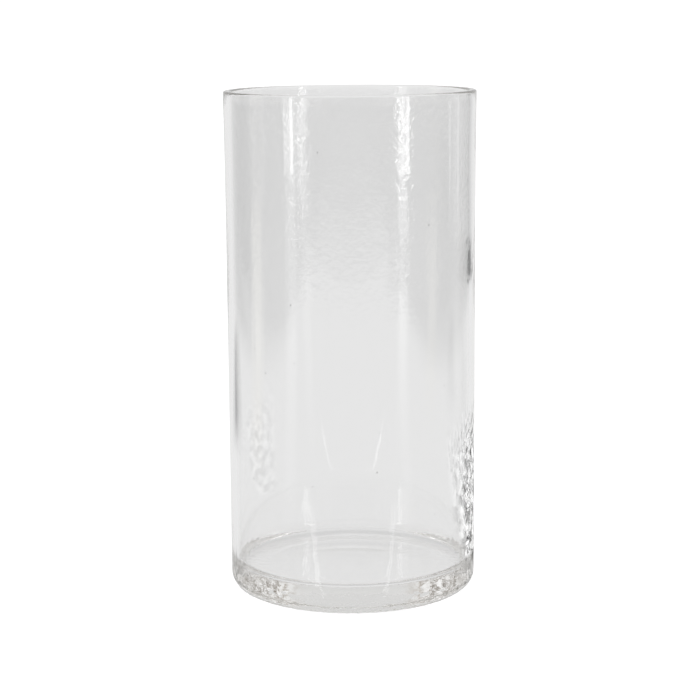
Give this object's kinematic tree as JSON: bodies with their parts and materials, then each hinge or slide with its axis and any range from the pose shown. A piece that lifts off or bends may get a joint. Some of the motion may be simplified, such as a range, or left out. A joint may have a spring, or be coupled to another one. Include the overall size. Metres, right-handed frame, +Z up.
{
  "type": "cylinder vase",
  "caption": "Straight-sided clear glass cylinder vase with a thick base, a rounded heel and a fire-polished rim.",
  "frame": {"origin": "centre of the flat standing ring, on the surface the vase stands on", "axes": "+Z up along the vase's own axis, X and Y level"},
  "size_m": [0.1496, 0.1496, 0.3],
  "materials": {
    "glass": "clear, fire-polished"
  },
  "bodies": {
    "root": {"vase_body": "glass"}
  },
  "joints": []
}
